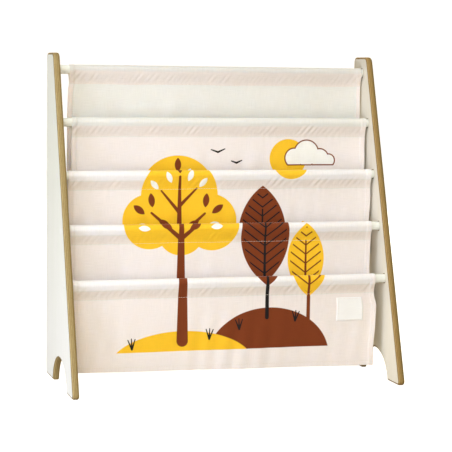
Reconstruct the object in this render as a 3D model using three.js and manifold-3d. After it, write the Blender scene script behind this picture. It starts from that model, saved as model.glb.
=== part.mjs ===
// Sling bookshelf for children. Two slanted side panels hold five rods, and one sewn cloth sling
// hangs from the rods in four deep pockets that step forward from the top to the floor.
// Sizes are in millimetres, +Z is up and the front faces -Y. The origin is on the floor, at the
// middle of the footprint.

import * as THREE from "three";
import { mergeVertices } from "three/addons/utils/BufferGeometryUtils.js";
import Module from "manifold-3d";

const wasm = await Module();
wasm.setup();

// Whole shelf, over the panels
const shelfWidth = 610;
const shelfHeight = 592;
const footDepth = 266;
const topDepth = 66;

// Side panels
const panelThickness = 12;
const edgeRound = 3.5;
const topFrontRadius = 14;
const topRearRadius = 10;
const footCornerRadius = 7;
const rearFootLength = 72;
const archSpan = 134;
const archRise = 50.5;
const archCentreDrop = 8;

// Rods, the first one on top
const rodCount = 5;
const rodDiameter = 16;
const rodEndChamfer = 0.8;
const topRodBelowTop = 30;
const topRodFromFront = 32.6;
const lowRodHeight = 186;
const lowRodFromFront = 22.5;

// Fixings at each rod end
const slip = 0.3;
const socketDepth = 3;
const counterboreDepth = 5;
const screwDiameter = 5;
const screwHeadDiameter = 8.6;
const screwHeadHeight = 2.2;
const screwHeadClearance = 0.7;
const screwEngagement = 12;
const hexKeyWidth = 3;
const hexKeyDepth = 1.4;
const insertDiameter = 8;
const insertLength = 14;
const insertFlangeWidth = 1;
const insertFlangeThickness = 1;
const capLip = 1;
const capRimThickness = 0.5;
const capCrown = 0.6;
const capShoulderShare = 0.65;

// Cloth sling
const clothThickness = 1.2;
const casingDrop = 25;
const casingSeamHeight = 3;
const layerGap = 0.4;
const sidePlay = 24;
const lowestFoldHeight = 31;
const frontFoldRadius = 4;
const rearTurnHeight = 28;
const foldDepth = 2.6;

// Where each casing lies between the panels, from 0, hard left, to 1, hard right, and how much
// of the play each one takes up by being stretched wider
const casingPlaceShares = [0.87, 0.79, 0.57, 0.19, 0.12];
const casingStretchShares = [0, 0, 0.49, 0.19, 0.05];

// Vertical folds in the hanging cloth: their number across each wall and where they start
const foldsAcrossShares = [2.3, 3.1, 2.6, 3.4, 2.8];
const foldStartShares = [0.1, 0.55, 0.3, 0.8, 0.2];

// Label patch on the front flap
const labelWidth = 48;
const labelHeight = 41;
const labelThickness = 0.8;
const labelFromSide = 25.5;
const labelBelowSeam = 8;

// One overrun for every cut, and how close two corners are to count as one
const cutOverrun = 1;
const weldDistance = 0.0001;

// Faces round a curve
const cornerSteps = 5;
const roundOverSteps = 3;
const rodSides = 20;
const fixingSides = 12;
const clothColumns = 24;
const backWallRows = 3;
const frontWallRows = 2;
const rearTurnRows = 6;
const frontFoldRows = 3;

// Sizes that follow from the ones above. The rounded toe ends short of the sharp corner that
// footDepth is measured to, and the origin is midway between the toe and the rear edge.
const frontLean = Math.atan2(shelfHeight, footDepth - topDepth);
const toeRounding = footCornerRadius / Math.tan(frontLean / 2) - footCornerRadius;
const rearEdge = (footDepth - toeRounding) / 2;
const frontFoot = rearEdge - footDepth;
const rodRadius = rodDiameter / 2;
const innerHalf = shelfWidth / 2 - panelThickness;
const counterboreDiameter = screwHeadDiameter + 2 * screwHeadClearance;
const screwHoleDiameter = screwDiameter + 2 * slip;
const webThickness = panelThickness - counterboreDepth - socketDepth;
const rodHalfLength = innerHalf + socketDepth - slip;
const clothWidth = 2 * innerHalf - sidePlay;
const layerOffset = (clothThickness + layerGap) / 2;
const seamHalfWidth = layerOffset + clothThickness / 2;
const casingInnerRadius = rodRadius + slip;
const casingOuterRadius = casingInnerRadius + clothThickness;

const paintedPanel = new THREE.MeshStandardMaterial({ color: 0xf0efe6, roughness: 0.5 });
const whiteRod = new THREE.MeshStandardMaterial({ color: 0xf3f4f1, roughness: 0.3 });
const whitePlastic = new THREE.MeshStandardMaterial({ color: 0xf1f1ec, roughness: 0.4 });
const zincSteel = new THREE.MeshStandardMaterial({ color: 0xb4b6b8, roughness: 0.35, metalness: 1 });
const insertBrass = new THREE.MeshStandardMaterial({ color: 0xb8995a, roughness: 0.35, metalness: 1 });
const canvas = new THREE.MeshStandardMaterial({ color: 0xf1dfd2, roughness: 0.95 });
const labelCloth = new THREE.MeshStandardMaterial({ color: 0xfaf9f7, roughness: 0.8 });

const shelf = new THREE.Group();

function addPiece(name, geometry, material, x = 0, y = 0, z = 0, turn = 0) {
  const piece = new THREE.Mesh(geometry, material);
  piece.name = name;
  piece.position.set(x, y, z);
  piece.rotation.z = turn;
  shelf.add(piece);
}

// Booleans on closed meshes

function toSolid(geometry) {
  const bare = geometry.clone();
  bare.deleteAttribute("normal");
  bare.deleteAttribute("uv");
  const merged = mergeVertices(bare, weldDistance);
  return new wasm.Manifold(
    new wasm.Mesh({
      numProp: 3,
      vertProperties: merged.attributes.position.array,
      triVerts: Uint32Array.from(merged.index.array),
    }),
  );
}

function toGeometry(solid) {
  const mesh = solid.getMesh();
  const geometry = new THREE.BufferGeometry();
  geometry.setAttribute("position", new THREE.BufferAttribute(mesh.vertProperties, mesh.numProp));
  geometry.setIndex(new THREE.BufferAttribute(mesh.triVerts, 1));
  geometry.computeVertexNormals();
  return geometry;
}

function cutAway(geometry, cutters) {
  let solid = toSolid(geometry);
  for (const cutter of cutters) {
    solid = solid.subtract(toSolid(cutter));
  }
  return toGeometry(solid);
}

// A cylinder along X from one x to another
function bar(diameter, fromX, toX, sides) {
  const cylinder = new THREE.CylinderGeometry(diameter / 2, diameter / 2, Math.abs(toX - fromX), sides);
  cylinder.rotateZ(Math.PI / 2);
  cylinder.translate((fromX + toX) / 2, 0, 0);
  return cylinder;
}

// A solid turned about the X axis. Its profile is [radius, x] pairs, the outer wall towards +X.
function turned(profile, sides) {
  const points = profile.map(([radius, x]) => new THREE.Vector2(radius, x));
  const lathe = new THREE.LatheGeometry(points, sides);
  lathe.rotateZ(-Math.PI / 2);
  return lathe;
}

// An outline in the side view, y to the right and z up, extruded along X about its middle
function sideExtrusion(outline, width, round) {
  const solid = new THREE.ExtrudeGeometry(outline, {
    depth: width - 2 * round,
    steps: 1,
    curveSegments: cornerSteps,
    bevelEnabled: round > 0,
    bevelThickness: round,
    bevelSize: round,
    bevelOffset: -round,
    bevelSegments: roundOverSteps,
  });
  solid.translate(0, 0, round - width / 2);
  return solid.rotateX(Math.PI / 2).rotateZ(Math.PI / 2);
}

// Places of the rods in the side view

function frontEdgeAt(z) {
  return frontFoot + ((footDepth - topDepth) * z) / shelfHeight;
}

function rodPlace(index) {
  const down = index / (rodCount - 1);
  const z = THREE.MathUtils.lerp(shelfHeight - topRodBelowTop, lowRodHeight, down);
  const fromFront = THREE.MathUtils.lerp(topRodFromFront, lowRodFromFront, down);
  return { y: frontEdgeAt(z) + fromFront, z };
}

const rodPlaces = Array.from({ length: rodCount }, (_, index) => rodPlace(index));
const pocketDrop = rodPlaces[rodCount - 1].z - lowestFoldHeight;

// Side panels

function addRoundCorner(outline, before, corner, after, radius) {
  const toBefore = before.clone().sub(corner).normalize();
  const toAfter = after.clone().sub(corner).normalize();
  const halfAngle = Math.acos(toBefore.dot(toAfter)) / 2;
  const start = corner.clone().addScaledVector(toBefore, radius / Math.tan(halfAngle));
  const end = corner.clone().addScaledVector(toAfter, radius / Math.tan(halfAngle));
  const inward = toBefore.clone().add(toAfter).normalize();
  const centre = corner.clone().addScaledVector(inward, radius / Math.sin(halfAngle));
  const startAngle = start.clone().sub(centre).angle();
  const endAngle = end.clone().sub(centre).angle();
  outline.lineTo(start.x, start.y);
  outline.absarc(centre.x, centre.y, radius, startAngle, endAngle, false);
}

function panelOutline() {
  const archRear = new THREE.Vector2(rearEdge - rearFootLength, 0);
  const archFront = new THREE.Vector2(archRear.x - archSpan, 0);
  const rearFootCorner = new THREE.Vector2(rearEdge, 0);
  const topRear = new THREE.Vector2(rearEdge, shelfHeight);
  const topFront = new THREE.Vector2(rearEdge - topDepth, shelfHeight);
  const frontFootCorner = new THREE.Vector2(frontFoot, 0);

  const outline = new THREE.Shape();
  outline.moveTo(archRear.x, archRear.y);
  addRoundCorner(outline, archRear, rearFootCorner, topRear, footCornerRadius);
  addRoundCorner(outline, rearFootCorner, topRear, topFront, topRearRadius);
  addRoundCorner(outline, topRear, topFront, frontFootCorner, topFrontRadius);
  addRoundCorner(outline, topFront, frontFootCorner, archFront, footCornerRadius);
  outline.lineTo(archFront.x, archFront.y);

  const archHalfHeight = archRise + archCentreDrop;
  const endAngle = Math.asin(archCentreDrop / archHalfHeight);
  const archHalfWidth = archSpan / 2 / Math.cos(endAngle);
  const archMiddle = (archFront.x + archRear.x) / 2;
  const arch = [archMiddle, -archCentreDrop, archHalfWidth, archHalfHeight];
  outline.absellipse(...arch, Math.PI - endAngle, Math.PI / 2, true);
  outline.absellipse(...arch, Math.PI / 2, endAngle, true);
  return outline;
}

// The panel's own origin is at its middle plane, and side is 1 on the right and -1 on the left
function panelGeometry(side) {
  const outerFace = (side * panelThickness) / 2;
  const innerFace = -outerFace;
  const cutters = [];
  for (const { y, z } of rodPlaces) {
    const counterboreFloor = outerFace - side * counterboreDepth;
    const socketFloor = innerFace + side * socketDepth;
    const overrun = side * cutOverrun;
    const cuts = [
      bar(counterboreDiameter, outerFace + overrun, counterboreFloor, fixingSides),
      bar(rodDiameter + 2 * slip, innerFace - overrun, socketFloor, rodSides),
      bar(screwHoleDiameter, outerFace + overrun, innerFace - overrun, fixingSides),
    ];
    for (const cut of cuts) {
      cutters.push(cut.translate(0, y, z));
    }
  }
  return cutAway(sideExtrusion(panelOutline(), panelThickness, edgeRound), cutters);
}

// Rods, each with a bore in both ends for its inserts

function rodGeometry() {
  const boreRadius = insertDiameter / 2 + slip;
  const flangeRadius = boreRadius + insertFlangeWidth;
  const boreFloor = rodHalfLength - insertLength - 2 * slip;
  const flangeFloor = rodHalfLength - insertFlangeThickness - 2 * slip;
  const chamferRadius = rodRadius - rodEndChamfer;
  const chamferStart = rodHalfLength - rodEndChamfer;
  return turned(
    [
      [0, -boreFloor],
      [boreRadius, -boreFloor],
      [boreRadius, -flangeFloor],
      [flangeRadius, -flangeFloor],
      [flangeRadius, -rodHalfLength],
      [chamferRadius, -rodHalfLength],
      [rodRadius, -chamferStart],
      [rodRadius, chamferStart],
      [chamferRadius, rodHalfLength],
      [flangeRadius, rodHalfLength],
      [flangeRadius, flangeFloor],
      [boreRadius, flangeFloor],
      [boreRadius, boreFloor],
      [0, boreFloor],
    ],
    rodSides,
  );
}

// Fixings, drawn for the right end with x = 0 on the panel's outer face and +X outwards

const rodEndX = -panelThickness + socketDepth - slip;

function insertGeometry() {
  const boreRadius = screwDiameter / 2 + slip;
  const outerRadius = insertDiameter / 2;
  const flangeRadius = outerRadius + insertFlangeWidth;
  const outerEnd = rodEndX - slip;
  const innerEnd = outerEnd - insertLength;
  const flangeUnderside = outerEnd - insertFlangeThickness;
  return turned(
    [
      [boreRadius, innerEnd],
      [outerRadius, innerEnd],
      [outerRadius, flangeUnderside],
      [flangeRadius, flangeUnderside],
      [flangeRadius, outerEnd],
      [boreRadius, outerEnd],
      [boreRadius, innerEnd],
    ],
    fixingSides,
  );
}

function screwGeometry() {
  const shankRadius = screwDiameter / 2;
  const headRadius = screwHeadDiameter / 2;
  const headUnderside = -counterboreDepth + slip;
  const headTop = headUnderside + screwHeadHeight;
  const tip = headUnderside - webThickness - 2 * slip - screwEngagement;
  const tipChamfer = shankRadius / 4;
  const headChamfer = screwHeadHeight / 6;
  const body = turned(
    [
      [0, tip],
      [shankRadius - tipChamfer, tip],
      [shankRadius, tip + tipChamfer],
      [shankRadius, headUnderside],
      [headRadius, headUnderside],
      [headRadius, headTop - headChamfer],
      [headRadius - headChamfer, headTop],
      [0, headTop],
    ],
    fixingSides,
  );
  const keyAcrossCorners = hexKeyWidth / Math.cos(Math.PI / 6);
  return cutAway(body, [bar(keyAcrossCorners, headTop - hexKeyDepth, headTop + cutOverrun, 6)]);
}

function capGeometry() {
  const plugRadius = counterboreDiameter / 2 - slip;
  const rimRadius = counterboreDiameter / 2 + capLip;
  const plugLength = counterboreDepth - screwHeadHeight - 2 * slip;
  const rimUnderside = slip;
  const rimTop = rimUnderside + capRimThickness;
  const crownTop = rimTop + capCrown;
  return turned(
    [
      [0, -plugLength],
      [plugRadius, -plugLength],
      [plugRadius, rimUnderside],
      [rimRadius, rimUnderside],
      [rimRadius, rimTop],
      [rimRadius * capShoulderShare, THREE.MathUtils.lerp(rimTop, crownTop, capShoulderShare)],
      [0, crownTop],
    ],
    fixingSides,
  );
}

// Cloth sling. Its two layers meet in the seam under each rod: the front layer is the rear wall
// of one pocket, and the rear layer is the front wall of the pocket behind it.

function casingSpan(index) {
  const width = clothWidth + sidePlay * casingStretchShares[index];
  const room = 2 * innerHalf - width;
  const left = -innerHalf + room * casingPlaceShares[index];
  return { left, right: left + width };
}

const casingSpans = rodPlaces.map((_, index) => casingSpan(index));

// The casing goes over the rod and down in two flat sides to the seam
function casingOutline() {
  const seamTop = -(casingDrop - casingSeamHeight);
  const toSeam = Math.hypot(seamHalfWidth, seamTop);
  const tangent = Math.atan2(seamTop, seamHalfWidth) + Math.acos(casingOuterRadius / toSeam);
  const outline = new THREE.Shape();
  outline.moveTo(-seamHalfWidth, -casingDrop);
  outline.lineTo(seamHalfWidth, -casingDrop);
  outline.lineTo(seamHalfWidth, seamTop);
  outline.absarc(0, 0, casingOuterRadius, tangent, Math.PI - tangent, false);
  outline.lineTo(-seamHalfWidth, seamTop);
  outline.closePath();

  const bore = new THREE.Path();
  bore.absarc(0, 0, casingInnerRadius, tangent, Math.PI - tangent, false);
  bore.lineTo(0, casingInnerRadius / Math.sin(tangent));
  bore.closePath();
  outline.holes.push(bore);
  return outline;
}

function casingGeometry(index) {
  const { left, right } = casingSpans[index];
  return sideExtrusion(casingOutline(), right - left, 0);
}

// How far a hanging wall stands out from its plumb line, at a share of its width and at a
// distance below its seam. Both layers under one rod share it, so they never meet.
const longestWall = rodPlaces[0].z - rodPlaces[1].z + pocketDrop - casingDrop;

function foldAt(index, acrossShare, belowSeam) {
  const turnShare = foldsAcrossShares[index] * acrossShare + foldStartShares[index];
  return ((foldDepth * belowSeam) / longestWall) * Math.sin(2 * Math.PI * turnShare);
}

// A closed sheet with rows down it and columns across it. corner(row, column, face) gives a
// corner of its outer face, with face 1, or of its inner face, with face -1.
function sheetGeometry(rows, columns, corner) {
  const positions = [];
  const triangles = [];
  const across = columns + 1;
  const perFace = (rows + 1) * across;
  for (const face of [1, -1]) {
    for (let row = 0; row <= rows; row++) {
      for (let column = 0; column <= columns; column++) {
        positions.push(...corner(row, column, face));
      }
    }
  }
  const outer = (row, column) => row * across + column;
  const inner = (row, column) => perFace + row * across + column;
  const addQuad = (a, b, c, d) => triangles.push(a, b, c, a, c, d);
  for (let row = 0; row < rows; row++) {
    for (let column = 0; column < columns; column++) {
      const [next, side] = [row + 1, column + 1];
      addQuad(outer(row, column), outer(row, side), outer(next, side), outer(next, column));
      addQuad(inner(row, column), inner(next, column), inner(next, side), inner(row, side));
    }
    addQuad(outer(row, 0), outer(row + 1, 0), inner(row + 1, 0), inner(row, 0));
    addQuad(outer(row, columns), inner(row, columns), inner(row + 1, columns), outer(row + 1, columns));
  }
  for (let column = 0; column < columns; column++) {
    const side = column + 1;
    addQuad(outer(0, column), inner(0, column), inner(0, side), outer(0, side));
    addQuad(outer(rows, column), outer(rows, side), inner(rows, side), inner(rows, column));
  }
  const geometry = new THREE.BufferGeometry();
  geometry.setAttribute("position", new THREE.Float32BufferAttribute(positions, 3));
  geometry.setIndex(triangles);
  geometry.computeVertexNormals();
  return geometry;
}

// Rows of a pocket in the side view: down its rear wall, forward in a long round turn, up round
// the tight fold at its front and up its front wall. outY and outZ point out of its outer face.
function pocketRows(index) {
  const rearTop = rodPlaces[index].z - casingDrop - slip;
  const frontTop = rodPlaces[index + 1].z - casingDrop - slip;
  const rearY = rodPlaces[index].y - layerOffset;
  const frontY = rodPlaces[index + 1].y + layerOffset;
  const bottomZ = rodPlaces[index + 1].z - pocketDrop + clothThickness / 2;
  const turnStartZ = bottomZ + rearTurnHeight;
  const foldCentreY = frontY + frontFoldRadius;
  const foldCentreZ = bottomZ + frontFoldRadius;
  const turnReach = rearY - foldCentreY;
  const rows = [];
  for (let step = 0; step < backWallRows; step++) {
    const z = THREE.MathUtils.lerp(rearTop, turnStartZ, step / backWallRows);
    rows.push({ y: rearY, z, outY: 1, outZ: 0 });
  }
  for (let step = 0; step < rearTurnRows; step++) {
    const angle = (Math.PI / 2) * (step / rearTurnRows);
    const [cos, sin] = [Math.cos(angle), Math.sin(angle)];
    const steepness = Math.hypot(cos / turnReach, sin / rearTurnHeight);
    rows.push({
      y: foldCentreY + turnReach * cos,
      z: turnStartZ - rearTurnHeight * sin,
      outY: cos / turnReach / steepness,
      outZ: -sin / rearTurnHeight / steepness,
    });
  }
  for (let step = 0; step <= frontFoldRows; step++) {
    const angle = (Math.PI / 2) * (step / frontFoldRows);
    const [outY, outZ] = [-Math.sin(angle), -Math.cos(angle)];
    const y = foldCentreY + frontFoldRadius * outY;
    const z = foldCentreZ + frontFoldRadius * outZ;
    rows.push({ y, z, outY, outZ });
  }
  for (let step = 1; step <= frontWallRows; step++) {
    const z = THREE.MathUtils.lerp(foldCentreZ, frontTop, step / frontWallRows);
    rows.push({ y: frontY, z, outY: -1, outZ: 0 });
  }
  return { rows, rearTop, frontTop, rearY, frontY };
}

function pocketGeometry(index) {
  const { rows, rearTop, frontTop, rearY, frontY } = pocketRows(index);
  const [rearSpan, frontSpan] = [casingSpans[index], casingSpans[index + 1]];
  return sheetGeometry(rows.length - 1, clothColumns, (row, column, face) => {
    const { y, z, outY, outZ } = rows[row];
    const across = column / clothColumns;
    const towardsFront = (rearY - y) / (rearY - frontY);
    const rearX = THREE.MathUtils.lerp(rearSpan.left, rearSpan.right, across);
    const frontX = THREE.MathUtils.lerp(frontSpan.left, frontSpan.right, across);
    const rearFold = foldAt(index, across, rearTop - z);
    const frontFold = foldAt(index + 1, across, frontTop - z);
    const out = (face * clothThickness) / 2;
    return [
      THREE.MathUtils.lerp(rearX, frontX, towardsFront),
      y + THREE.MathUtils.lerp(rearFold, frontFold, towardsFront) + out * outY,
      z + out * outZ,
    ];
  });
}

// The label follows the folds of the flap under the lowest rod, with the flap's own columns
function labelGeometry() {
  const last = rodCount - 1;
  const span = casingSpans[last];
  const flapWidth = span.right - span.left;
  const rightShare = 1 - labelFromSide / flapWidth;
  const leftShare = rightShare - labelWidth / flapWidth;
  const shares = [leftShare];
  for (let column = 0; column <= clothColumns; column++) {
    const share = column / clothColumns;
    if (share > leftShare && share < rightShare) {
      shares.push(share);
    }
  }
  shares.push(rightShare);
  const flapFront = rodPlaces[last].y + layerOffset - clothThickness / 2;
  const middleY = flapFront - slip - labelThickness / 2;
  const seamZ = rodPlaces[last].z - casingDrop - slip;
  return sheetGeometry(1, shares.length - 1, (row, column, face) => {
    const belowSeam = labelBelowSeam + row * labelHeight;
    return [
      span.left + shares[column] * flapWidth,
      middleY + flapFoldAt(last, shares[column], belowSeam) + (face * labelThickness) / 2,
      seamZ - belowSeam,
    ];
  });
}

// The flap's own facets run straight from column to column
function flapFoldAt(index, acrossShare, belowSeam) {
  const column = Math.floor(acrossShare * clothColumns);
  const [before, after] = [column / clothColumns, (column + 1) / clothColumns];
  const between = (acrossShare - before) * clothColumns;
  const [left, right] = [foldAt(index, before, belowSeam), foldAt(index, after, belowSeam)];
  return THREE.MathUtils.lerp(left, right, between);
}

// Assembly

const sides = [
  { name: "left", side: -1, turn: Math.PI },
  { name: "right", side: 1, turn: 0 },
];

for (const { name, side } of sides) {
  const middle = side * (shelfWidth / 2 - panelThickness / 2);
  addPiece(`side_panel_${name}`, panelGeometry(side), paintedPanel, middle);
}

rodPlaces.forEach(({ y, z }, index) => {
  const number = index + 1;
  addPiece(`rod_${number}`, rodGeometry(), whiteRod, 0, y, z);
  for (const { name, side, turn } of sides) {
    const outerFace = (side * shelfWidth) / 2;
    addPiece(`rod_insert_${name}_${number}`, insertGeometry(), insertBrass, outerFace, y, z, turn);
    addPiece(`rod_screw_${name}_${number}`, screwGeometry(), zincSteel, outerFace, y, z, turn);
    addPiece(`screw_cap_${name}_${number}`, capGeometry(), whitePlastic, outerFace, y, z, turn);
  }
  const { left, right } = casingSpans[index];
  addPiece(`rod_casing_${number}`, casingGeometry(index), canvas, (left + right) / 2, y, z);
});

for (let index = 0; index < rodCount - 1; index++) {
  addPiece(`pocket_sling_${index + 1}`, pocketGeometry(index), canvas);
}

addPiece("label_patch", labelGeometry(), labelCloth);

export default shelf;
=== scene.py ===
# Sling bookshelf for children: printed canvas panels hang in four pockets from five white rods
# between two slanted side boards. Everything is in metres, +Z up, with the front facing -Y.

import math
import random

import bpy
import numpy as np
from mathutils import Matrix, Vector
from mathutils.geometry import tessellate_polygon


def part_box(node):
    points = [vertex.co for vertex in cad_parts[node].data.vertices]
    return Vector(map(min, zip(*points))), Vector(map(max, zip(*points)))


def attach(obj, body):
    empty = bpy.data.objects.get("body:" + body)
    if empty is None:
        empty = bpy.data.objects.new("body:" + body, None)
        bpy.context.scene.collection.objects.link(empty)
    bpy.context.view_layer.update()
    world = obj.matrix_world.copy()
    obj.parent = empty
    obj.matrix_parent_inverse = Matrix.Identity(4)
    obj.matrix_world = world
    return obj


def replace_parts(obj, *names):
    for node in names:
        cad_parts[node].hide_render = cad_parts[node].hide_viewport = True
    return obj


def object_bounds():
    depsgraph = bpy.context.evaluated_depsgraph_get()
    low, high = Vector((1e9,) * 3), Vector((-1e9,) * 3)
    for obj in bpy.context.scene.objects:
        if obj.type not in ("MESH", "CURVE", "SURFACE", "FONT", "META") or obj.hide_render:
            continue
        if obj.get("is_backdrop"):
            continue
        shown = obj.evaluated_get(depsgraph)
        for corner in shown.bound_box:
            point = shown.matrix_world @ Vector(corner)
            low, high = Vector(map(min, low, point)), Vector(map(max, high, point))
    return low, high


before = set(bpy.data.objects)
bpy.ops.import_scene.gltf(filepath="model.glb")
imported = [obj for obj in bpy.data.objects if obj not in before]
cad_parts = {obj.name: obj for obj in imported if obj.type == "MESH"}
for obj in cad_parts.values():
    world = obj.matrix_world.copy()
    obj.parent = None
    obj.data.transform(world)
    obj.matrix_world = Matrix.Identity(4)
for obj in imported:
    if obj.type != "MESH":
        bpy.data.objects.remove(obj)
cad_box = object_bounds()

MM = 0.001
BODY = "root"

# Side boards
TOP_DEPTH = 66 * MM
FOOT_DEPTH = 266 * MM
EDGE_ROUND = 3.5 * MM
TOP_FRONT_RADIUS = 14 * MM
TOP_REAR_RADIUS = 10 * MM
FOOT_RADIUS = 7 * MM
REAR_FOOT = 72 * MM
ARCH_SPAN = 134 * MM
ARCH_RISE = 50.5 * MM
ARCH_DROP = 8 * MM

# Bores of the fixings
SLIP = 0.3 * MM
SOCKET_DEPTH = 3 * MM
COUNTERBORE_RADIUS = 5 * MM
COUNTERBORE_DEPTH = 5 * MM
SCREW_HOLE_RADIUS = 2.8 * MM
ROD_CHAMFER = 0.8 * MM
CAP_RIM = 0.35 * MM

# Cloth
PLY = 0.7 * MM
PLY_PITCH = 0.8 * MM
CASING_DROP = 25 * MM
CASING_NECK = 24.2 * MM
CASING_BELLY = 0.5
CASING_TAIL = 3.5 * MM
FLAT_FROM = 1 * MM
REAR_TURN_HEIGHT = 28 * MM
FRONT_FOLD_RADIUS = 4 * MM
HEM_WIDTH = 8.7 * MM
HEM_STEP = 0.3 * MM
HEM_RAISE = 0.28 * MM
HEM_START = 2 * CASING_TAIL
HEM_FADE = 2 * MM
BOTTOM_HEM = 9 * MM
COLUMN_PITCH = 2.6 * MM

# Folds. The main ones are those of the solid cloth. A finer one has a height and a pitch.
FOLD_DEPTH = 2.6 * MM
LONGEST_WALL = 224 * MM
FOLDS_ACROSS = (2.3, 3.1, 2.6, 3.4, 2.8)
FOLD_START = (0.1, 0.55, 0.3, 0.8, 0.2)
SOFT_FOLD = (0.8 * MM, 44 * MM)
SOFT_FOLD_LEAN = 0.12
SOFT_FOLD_FADE = 60 * MM
PUCKER = (0.36 * MM, 11 * MM)
PUCKER_REACH = 10 * MM
DRAG_WRINKLE = (0.8 * MM, 9 * MM)
DRAG_LEANS = (-0.3, 0.75)
DRAG_LIMIT = 0.8 * MM
DRAG_SHARPNESS = 1.2
SEAM_SWAY = (0.45 * MM, 130 * MM)
SEAM_REACH = 9 * MM

# Side edges and the flap's lower edge
EDGE_SWING = 0.45 * MM
EDGE_WAVE_COUNT = 3
EDGE_WAVE_LENGTHS = (55 * MM, 120 * MM)
LEFT_EDGE_SHARE = 0.5
EDGE_FADE = 25 * MM
EDGE_REACH = 0.2
TOP_FLARE = 3.4 * MM
TOP_FLARE_FADES = ((0.4, 8 * MM), (0.6, 60 * MM))
FLAP_FLARE = 4.7 * MM
FLAP_FLARE_RISE = (0, 26 * MM)
FLAP_FLARE_FALL = (30 * MM, 130 * MM)
FLAP_SAG = 6 * MM

# Seeds of the random waves, to which the panel's index is added
SOFT_SEED, PUCKER_SEED, EDGE_SEED, DRAG_SEED, SWAY_SEED = 20, 40, 60, 80, 100

# Thread
STITCH_PITCH = 3.2 * MM
STITCH_LENGTH = 2.5 * MM
THREAD_RADIUS = 0.24 * MM
THREAD_SIDES = 5

# Sizes read from the frame. The rods are alike, so the last one gives their radius and length.
ROD_COUNT = 5
board_low, board_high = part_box("side_panel_right")
HEIGHT = board_high.z
REAR = board_high.y
FRONT_FOOT = REAR - FOOT_DEPTH
INNER_X, OUTER_X = board_low.x, board_high.x
RODS = []
CASINGS = []
for number in range(1, ROD_COUNT + 1):
    low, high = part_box(f"rod_{number}")
    RODS.append(((low.y + high.y) / 2, (low.z + high.z) / 2))
    casing_low, casing_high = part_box(f"rod_casing_{number}")
    CASINGS.append((casing_low.x, casing_high.x))
ROD_RADIUS = (high.y - low.y) / 2
ROD_HALF_LENGTH = high.x
LOWEST_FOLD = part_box("pocket_sling_4")[0].z
POCKET_DROP = RODS[-1][1] - LOWEST_FOLD
WRAP_RADIUS = ROD_RADIUS + SLIP + PLY / 2


# Camera, fitted to the photograph's frame of 452 x 452 pixels

CAMERA_PLACE = Vector((-0.8179, -2.8085, 0.5681))
CAMERA_YAW = math.radians(16.27)
CAMERA_PITCH = math.radians(5.58)
CAMERA_ROLL = math.radians(0.76)
FOCAL_PIXELS = 1615.4
FRAME_PIXELS = 452
SENSOR_WIDTH = 36


def add_camera():
    camera = bpy.data.cameras.new("camera")
    camera.sensor_width = SENSOR_WIDTH
    camera.lens = FOCAL_PIXELS / FRAME_PIXELS * SENSOR_WIDTH
    holder = bpy.data.objects.new("camera", camera)
    turn = Matrix.Rotation(-CAMERA_YAW, 4, "Z") @ Matrix.Rotation(math.pi / 2 - CAMERA_PITCH, 4, "X")
    turn = turn @ Matrix.Rotation(CAMERA_ROLL, 4, "Z")
    holder.matrix_world = Matrix.Translation(CAMERA_PLACE) @ turn
    bpy.context.scene.collection.objects.link(holder)
    bpy.context.scene.camera = holder


# Shader graphs

class Graph:
    """Builds the nodes of one material or world. What its methods give are mostly output sockets."""

    def __init__(self, name, kind="materials"):
        self.made = getattr(bpy.data, kind).new(name)
        self.made.use_nodes = True
        self.tree = self.made.node_tree
        self.tree.nodes.clear()

    def node(self, kind, sockets=(), **settings):
        made = self.tree.nodes.new("ShaderNode" + kind)
        for key, value in settings.items():
            setattr(made, key, value)
        for key, value in dict(sockets).items():
            if isinstance(value, bpy.types.NodeSocket):
                self.tree.links.new(value, made.inputs[key])
            else:
                made.inputs[key].default_value = value
        return made

    def math(self, operation, *values, clamp=False):
        return self.node("Math", enumerate(values), operation=operation, use_clamp=clamp).outputs[0]

    def vector(self, operation, *values):
        made = self.node("VectorMath", enumerate(values), operation=operation)
        gives_number = operation in ("DISTANCE", "LENGTH", "DOT_PRODUCT")
        return made.outputs["Value" if gives_number else "Vector"]

    def combine(self, x=0.0, y=0.0, z=0.0):
        return self.node("CombineXYZ", enumerate((x, y, z))).outputs[0]

    def split(self, vector):
        return self.node("SeparateXYZ", {0: vector}).outputs

    def place(self):
        return self.node("TexCoord").outputs["Object"]

    def attribute(self, name):
        return self.node("Attribute", attribute_name=name).outputs["Vector"]

    def noise(self, vector, scale, detail=2.0, roughness=0.5):
        sockets = {"Vector": vector, "Scale": scale, "Detail": detail, "Roughness": roughness}
        return self.node("TexNoise", sockets).outputs["Fac"]

    def stretch(self, vector, x, y, z):
        return self.vector("MULTIPLY", vector, (x, y, z))

    def wave(self, value, pitch):
        """A sine from 0 to 1 of that pitch"""
        turned = self.math("MULTIPLY", value, 2 * math.pi / pitch)
        return self.math("MULTIPLY_ADD", self.math("SINE", turned), 0.5, 0.5)

    def between(self, value, low, high, to_low=0.0, to_high=1.0):
        sockets = {"Value": value, "From Min": low, "From Max": high, "To Min": to_low, "To Max": to_high}
        return self.node("MapRange", sockets).outputs[0]

    def mix(self, factor, a, b, blend="MIX"):
        return self.node("Mix", {0: factor, 6: a, 7: b}, data_type="RGBA", blend_type=blend).outputs[2]

    def mottled(self, noise, light, dark, most=1.0):
        """Two colours, where a noise of middling values is low and where it is high"""
        return self.mix(self.between(noise, 0.35, 0.7, 0.0, most), light, dark)

    def bump(self, height, distance, strength):
        return self.node("Bump", {"Height": height, "Distance": distance, "Strength": strength}).outputs[0]

    def finish(self, **sockets):
        sockets = {key.replace("_", " "): value for key, value in sockets.items()}
        shader = self.node("BsdfPrincipled", sockets).outputs[0]
        self.node("OutputMaterial", {"Surface": shader})
        return self.made


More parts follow.
